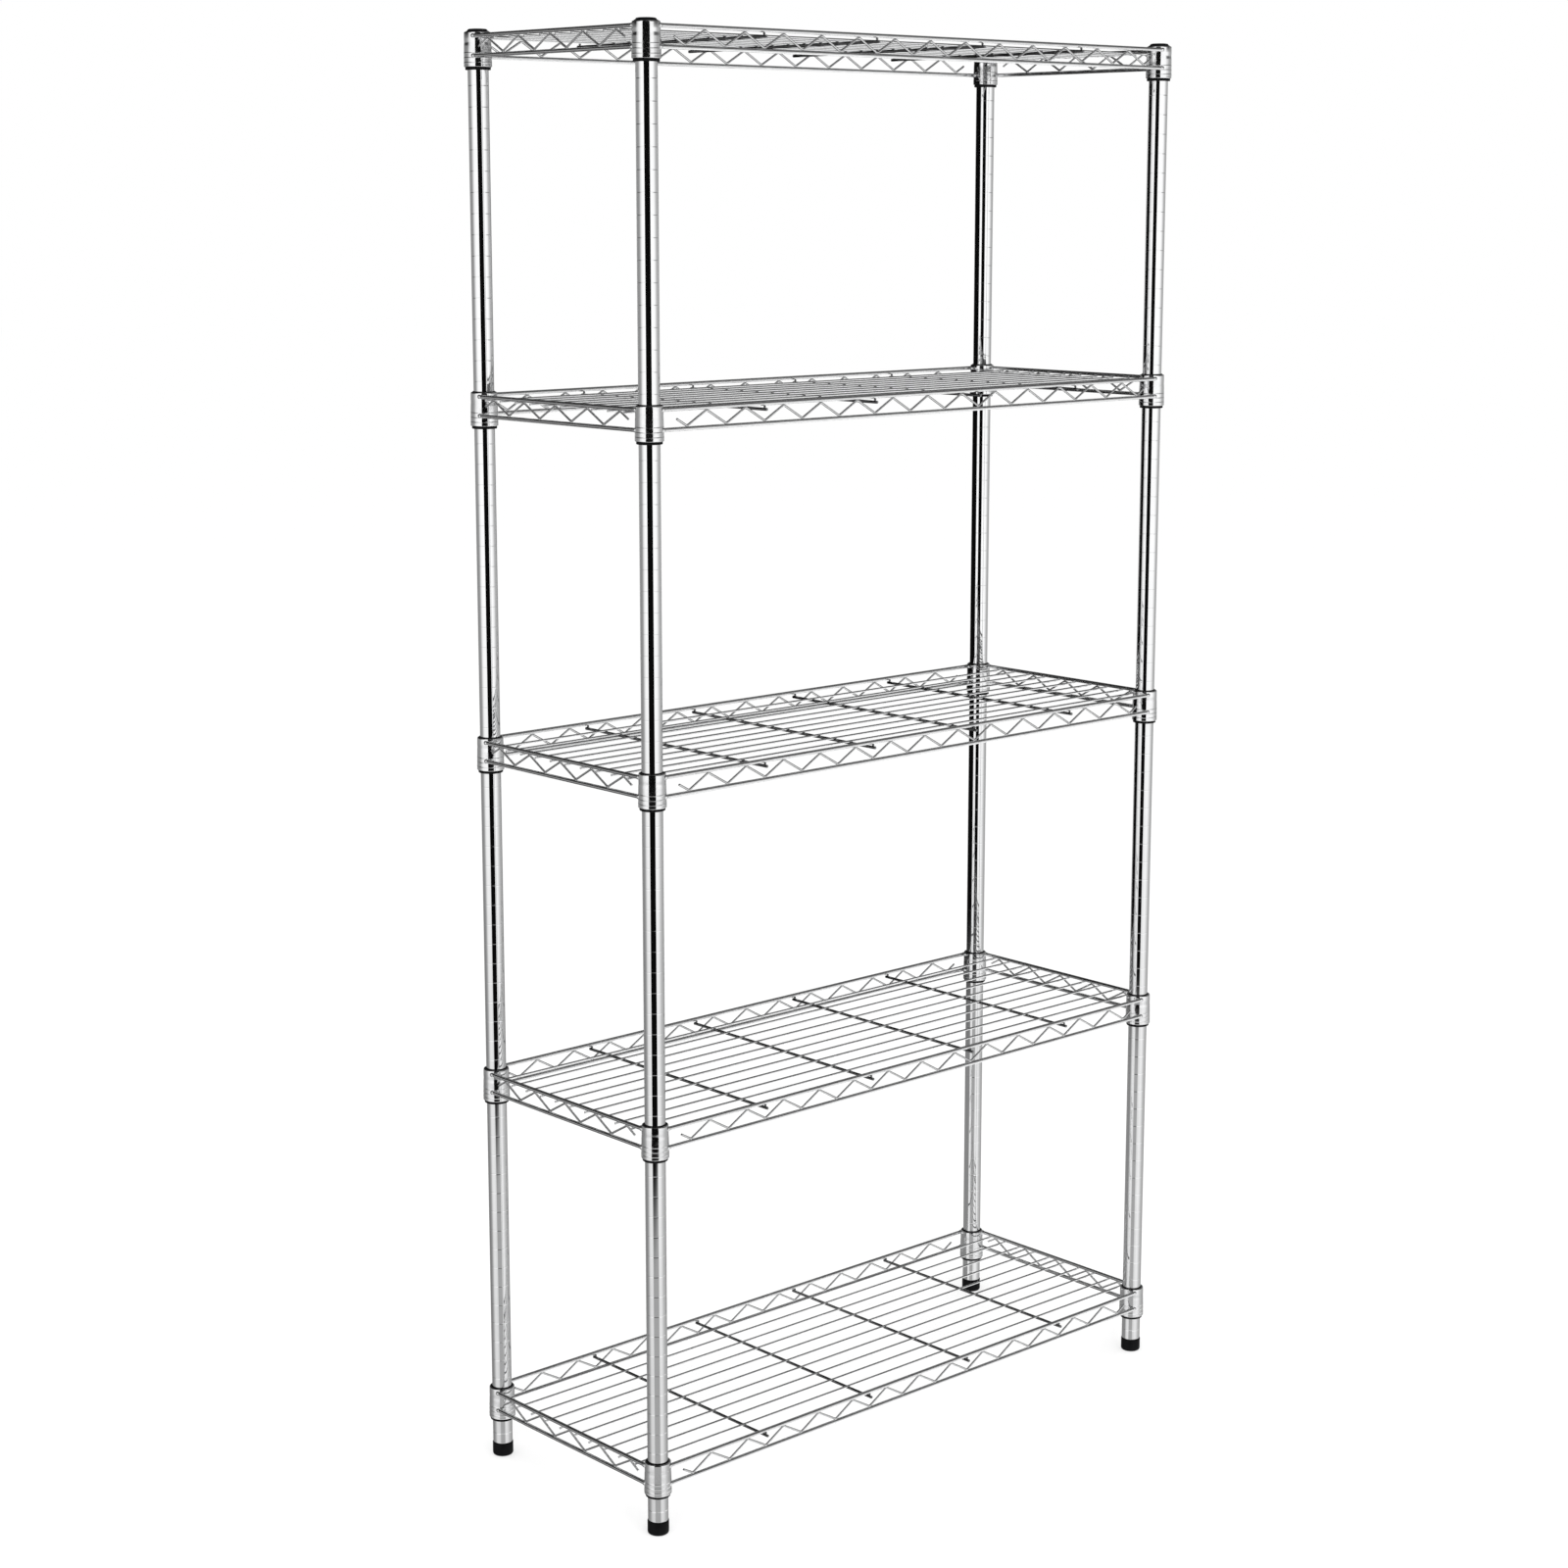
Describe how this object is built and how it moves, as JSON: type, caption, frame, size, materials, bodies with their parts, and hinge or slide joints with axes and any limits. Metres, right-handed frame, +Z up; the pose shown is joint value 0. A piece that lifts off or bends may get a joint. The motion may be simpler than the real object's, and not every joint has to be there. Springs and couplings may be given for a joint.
{
  "type": "wire shelving rack",
  "caption": "Free-standing chrome wire shelving rack: open wire decks with truss edges hang by tapered collars on round grooved posts with levelling feet.",
  "frame": {"origin": "on the floor, midway between the four posts", "axes": "+Z up along the posts, +X along the shelves, +Y towards the back long side"},
  "size_m": [0.916, 0.352, 1.8254],
  "materials": {
    "chrome_tube": "bright chrome plating on rolled steel tube",
    "chrome_wire": "bright chrome plating on welded steel wire",
    "black_plastic": "moulded black plastic with a soft sheen",
    "zinc_steel": "zinc-plated steel"
  },
  "bodies": {
    "posts": {"post_lower_front_left": "chrome_tube", "post_upper_front_left": "chrome_tube", "post_joiner_front_left": "zinc_steel", "foot_insert_front_left": "zinc_steel", "post_cap_front_left": "black_plastic", "post_lower_front_right": "chrome_tube", "post_upper_front_right": "chrome_tube", "post_joiner_front_right": "zinc_steel", "foot_insert_front_right": "zinc_steel", "post_cap_front_right": "black_plastic", "post_lower_back_left": "chrome_tube", "post_upper_back_left": "chrome_tube", "post_joiner_back_left": "zinc_steel", "foot_insert_back_left": "zinc_steel", "post_cap_back_left": "black_plastic", "post_lower_back_right": "chrome_tube", "post_upper_back_right": "chrome_tube", "post_joiner_back_right": "zinc_steel", "foot_insert_back_right": "zinc_steel", "post_cap_back_right": "black_plastic", "shelf_1_clip_front_left": "black_plastic", "shelf_1_clip_front_right": "black_plastic", "shelf_1_clip_back_left": "black_plastic", "shelf_1_clip_back_right": "black_plastic", "shelf_2_clip_front_left": "black_plastic", "shelf_2_clip_front_right": "black_plastic", "shelf_2_clip_back_left": "black_plastic", "shelf_2_clip_back_right": "black_plastic", "shelf_3_clip_front_left": "black_plastic", "shelf_3_clip_front_right": "black_plastic", "shelf_3_clip_back_left": "black_plastic", "shelf_3_clip_back_right": "black_plastic", "shelf_4_clip_front_left": "black_plastic", "shelf_4_clip_front_right": "black_plastic", "shelf_4_clip_back_left": "black_plastic", "shelf_4_clip_back_right": "black_plastic", "shelf_5_clip_front_left": "black_plastic", "shelf_5_clip_front_right": "black_plastic", "shelf_5_clip_back_left": "black_plastic", "shelf_5_clip_back_right": "black_plastic"},
    "shelf_1": {"shelf_1_frame": "chrome_wire", "shelf_1_deck": "chrome_wire"},
    "shelf_2": {"shelf_2_frame": "chrome_wire", "shelf_2_deck": "chrome_wire"},
    "shelf_3": {"shelf_3_frame": "chrome_wire", "shelf_3_deck": "chrome_wire"},
    "shelf_4": {"shelf_4_frame": "chrome_wire", "shelf_4_deck": "chrome_wire"},
    "shelf_5": {"shelf_5_frame": "chrome_wire", "shelf_5_deck": "chrome_wire"},
    "foot_stem_front_left": {"foot_stem_front_left": "zinc_steel"},
    "foot_pad_front_left": {"foot_pad_front_left": "black_plastic"},
    "foot_stem_front_right": {"foot_stem_front_right": "zinc_steel"},
    "foot_pad_front_right": {"foot_pad_front_right": "black_plastic"},
    "foot_stem_back_left": {"foot_stem_back_left": "zinc_steel"},
    "foot_pad_back_left": {"foot_pad_back_left": "black_plastic"},
    "foot_stem_back_right": {"foot_stem_back_right": "zinc_steel"},
    "foot_pad_back_right": {"foot_pad_back_right": "black_plastic"}
  },
  "joints": [
    {"name": "shelf_1_lift", "type": "slide", "parent": "posts", "child": "shelf_1", "axis": [0, 0, 1], "range_m": [0, 0.37]},
    {"name": "shelf_2_lift", "type": "slide", "parent": "posts", "child": "shelf_2", "axis": [0, 0, 1], "range_m": [0, 0.37]},
    {"name": "shelf_3_lift", "type": "slide", "parent": "posts", "child": "shelf_3", "axis": [0, 0, 1], "range_m": [0, 0.37]},
    {"name": "shelf_4_lift", "type": "slide", "parent": "posts", "child": "shelf_4", "axis": [0, 0, 1], "range_m": [0, 0.37]},
    {"name": "shelf_5_lift", "type": "slide", "parent": "posts", "child": "shelf_5", "axis": [0, 0, 1], "range_m": [0, 0.06]},
    {"name": "foot_travel_front_left", "type": "slide", "parent": "posts", "child": "foot_stem_front_left", "axis": [0, 0, -1], "range_m": [0, 0.012]},
    {"name": "foot_turn_front_left", "type": "hinge", "parent": "foot_stem_front_left", "child": "foot_pad_front_left", "pos_m": [-0.441, -0.159, 0], "axis": [0, 0, -1], "range_deg": [0, 3456]},
    {"name": "foot_travel_front_right", "type": "slide", "parent": "posts", "child": "foot_stem_front_right", "axis": [0, 0, -1], "range_m": [0, 0.012]},
    {"name": "foot_turn_front_right", "type": "hinge", "parent": "foot_stem_front_right", "child": "foot_pad_front_right", "pos_m": [0.441, -0.159, 0], "axis": [0, 0, -1], "range_deg": [0, 3456]},
    {"name": "foot_travel_back_left", "type": "slide", "parent": "posts", "child": "foot_stem_back_left", "axis": [0, 0, -1], "range_m": [0, 0.012]},
    {"name": "foot_turn_back_left", "type": "hinge", "parent": "foot_stem_back_left", "child": "foot_pad_back_left", "pos_m": [-0.441, 0.159, 0], "axis": [0, 0, -1], "range_deg": [0, 3456]},
    {"name": "foot_travel_back_right", "type": "slide", "parent": "posts", "child": "foot_stem_back_right", "axis": [0, 0, -1], "range_m": [0, 0.012]},
    {"name": "foot_turn_back_right", "type": "hinge", "parent": "foot_stem_back_right", "child": "foot_pad_back_right", "pos_m": [0.441, 0.159, 0], "axis": [0, 0, -1], "range_deg": [0, 3456]}
  ],
  "couplings": [
    {"joint": "foot_travel_front_left", "follows": "foot_turn_front_left", "m_per_rad": 0.00019894},
    {"joint": "foot_travel_front_right", "follows": "foot_turn_front_right", "m_per_rad": 0.00019894},
    {"joint": "foot_travel_back_left", "follows": "foot_turn_back_left", "m_per_rad": 0.00019894},
    {"joint": "foot_travel_back_right", "follows": "foot_turn_back_right", "m_per_rad": 0.00019894}
  ]
}
